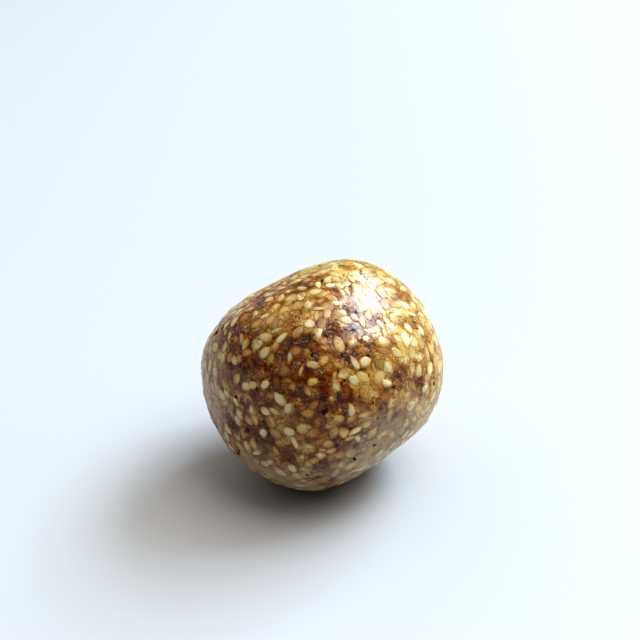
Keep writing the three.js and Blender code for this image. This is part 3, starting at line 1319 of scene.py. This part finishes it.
class LADOO_OT_bits(bpy.types.Operator):
    """Lays the crumbs of broken seed and the scorched specks"""

    bl_idname = "ladoo.bits"
    bl_label = "Crumbs and specks"

    def execute(self, context):
        jaggery = context.scene.ladoo_jaggery
        seeds = context.scene.ladoo_seeds
        bits = context.scene.ladoo_bits
        lies = plan(context)
        copies, faces = lay_bits(CRUMBS, lies.crumbs)
        random = np.random.default_rng(CRUMB_TRAIT_DRAWS)
        shape = copies.shape[:2]
        tone = random.random(shape[0])[:, None]
        depth = CRUMB_DEPTH * random.random(shape[0])[:, None]
        traits = {"depth": depth, "tone": tone, "tip": 0}
        traits = {trait: np.broadcast_to(values, shape) for trait, values in traits.items()}
        piece = joined("crumbs", copies, faces, seed_material("crumbs", jaggery, seeds), traits)
        copies, faces = lay_bits(SPECKS, lies.specks)
        piece = joined("char_specks", copies, faces, speck_material(bits, jaggery), {})
        return {"FINISHED"}


# ---- The stage's pieces ----


def add_floor(colour):
    select_none()
    bpy.ops.mesh.primitive_plane_add(size=FLOOR_SIDE)
    floor = bpy.context.object
    floor.name = "floor"
    shader = painted("floor")
    floor.data.materials.append(shader.surface({"Base Color": (*colour, 1), "Roughness": 0.6}))
    floor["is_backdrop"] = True


def add_backdrop(colour):
    """A pale round wall that hides the floor's far end from the camera, and that nothing else sees."""
    select_none()
    bpy.ops.mesh.primitive_cylinder_add(
        vertices=BACKDROP_SIDES, radius=BACKDROP_RADIUS, depth=FLOOR_SIDE, end_fill_type="NOTHING"
    )
    wall = bpy.context.object
    wall.name = "backdrop"
    shader = painted("backdrop")
    wall.data.materials.append(shader.surface({
        "Base Color": (0, 0, 0, 1),
        "Emission Color": (*colour, 1),
        "Emission Strength": BACKDROP_GLOW,
    }))
    for kind in ("diffuse", "glossy", "transmission", "volume_scatter", "shadow"):
        setattr(wall, f"visible_{kind}", False)
    wall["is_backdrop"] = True


def add_light(name, place, radiance, colour):
    """A soft light that faces the ball."""
    azimuth, elevation, width, height, turn = place
    toward = facing(azimuth, elevation)
    light = bpy.data.lights.new(name, "AREA")
    light.shape = "RECTANGLE"
    light.size = width
    light.size_y = height
    light.energy = radiance * math.pi * width * height
    light.color = colour
    lamp = bpy.data.objects.new(name, light)
    lamp.location = SPHERE_CENTRE + toward * LIGHTS_AWAY
    turned_by = Quaternion((0, 0, 1), math.radians(turn))
    lamp.rotation_euler = (Vector(toward).to_track_quat("Z", "Y") @ turned_by).to_euler()
    bpy.context.scene.collection.objects.link(lamp)


def add_room(studio):
    """A dim room, brighter at the right and overhead, dark behind the camera and dim along the floor."""
    room = Shader(bpy.data.worlds.new("room"))
    bpy.context.scene.world = room.owner
    direction = room.node("TexCoord", output="Generated")
    x, y, z = (room.node("SeparateXYZ", None, {0: direction}, output=axis) for axis in "XYZ")
    strength = studio.walls
    for share, radiance in (
        (room.step(x, 0.2, 0.75), studio.right),
        (room.step(z, 0.3, 0.62), studio.ceiling),
        (room.step(y, -0.15, -0.8), studio.front),
        (room.step(z, 0.2, 0.02) * room.step(x, 0.5, 0.1), HORIZON),
    ):
        strength = strength + share * (radiance - strength)
    background = room.node("Background", None, {"Color": (*LAMPLIGHT, 1), "Strength": strength})
    room.node("OutputWorld", None, {"Surface": background})


def add_camera(studio):
    data = bpy.data.cameras.new("camera")
    data.lens = studio.focal_length
    data.sensor_width = SENSOR_WIDTH
    data.clip_start = NEAREST_SEEN
    camera = bpy.data.objects.new("camera", data)
    camera.location = (
        BALL_CENTRE[0] - studio.camera_aside,
        BALL_CENTRE[1] - studio.camera_back,
        studio.camera_height,
    )
    camera.rotation_euler = (math.pi / 2 - studio.camera_pitch, 0, 0)
    bpy.context.scene.collection.objects.link(camera)
    bpy.context.scene.camera = camera


class LADOO_OT_stage(bpy.types.Operator):
    """Adds the floor, the backdrop, the window, the light overhead, the room and the camera"""

    bl_idname = "ladoo.stage"
    bl_label = "Stage"

    def execute(self, context):
        studio = context.scene.ladoo_studio
        add_floor(studio.floor)
        add_backdrop(studio.floor)
        add_light("window", WINDOW, studio.window, DAYLIGHT)
        add_light("skylight", SKYLIGHT, studio.skylight, LAMPLIGHT)
        add_room(studio)
        add_camera(studio)
        context.scene.view_settings.view_transform = "Standard"
        context.scene.view_settings.look = "High Contrast"
        return {"FINISHED"}


class LADOO_PT_panel(bpy.types.Panel):
    """The settings, and a button for each operator"""

    bl_idname = "LADOO_PT_panel"
    bl_label = "Sesame ladoo"
    bl_space_type = "VIEW_3D"
    bl_region_type = "UI"
    bl_category = "Ladoo"

    def draw(self, context):
        for name in SETTINGS:
            group = getattr(context.scene, name)
            box = self.layout.box()
            for setting in group.bl_rna.properties:
                if setting.identifier not in ("rna_type", "name"):
                    box.prop(group, setting.identifier)
        for operator in OPERATORS:
            self.layout.operator(operator.bl_idname)


SETTINGS = {
    "ladoo_jaggery": LadooJaggery,
    "ladoo_seeds": LadooSeeds,
    "ladoo_bits": LadooBits,
    "ladoo_studio": LadooStudio,
}
OPERATORS = (LADOO_OT_stage, LADOO_OT_jaggery, LADOO_OT_seeds, LADOO_OT_bits)


def register():
    for made in (*SETTINGS.values(), *OPERATORS, LADOO_PT_panel):
        bpy.utils.register_class(made)
    for name, group in SETTINGS.items():
        setattr(bpy.types.Scene, name, bpy.props.PointerProperty(type=group))


def unregister():
    for name in SETTINGS:
        delattr(bpy.types.Scene, name)
    for made in reversed((*SETTINGS.values(), *OPERATORS, LADOO_PT_panel)):
        bpy.utils.unregister_class(made)


def corners(box):
    return [list(corner) for corner in box]


def main():
    register()
    for operator in OPERATORS:
        group, name = operator.bl_idname.split(".")
        getattr(getattr(bpy.ops, group), name)()
    {"cad": corners(CAD_BOX), "visual": corners(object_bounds())}


if __name__ == "__main__":
    main()
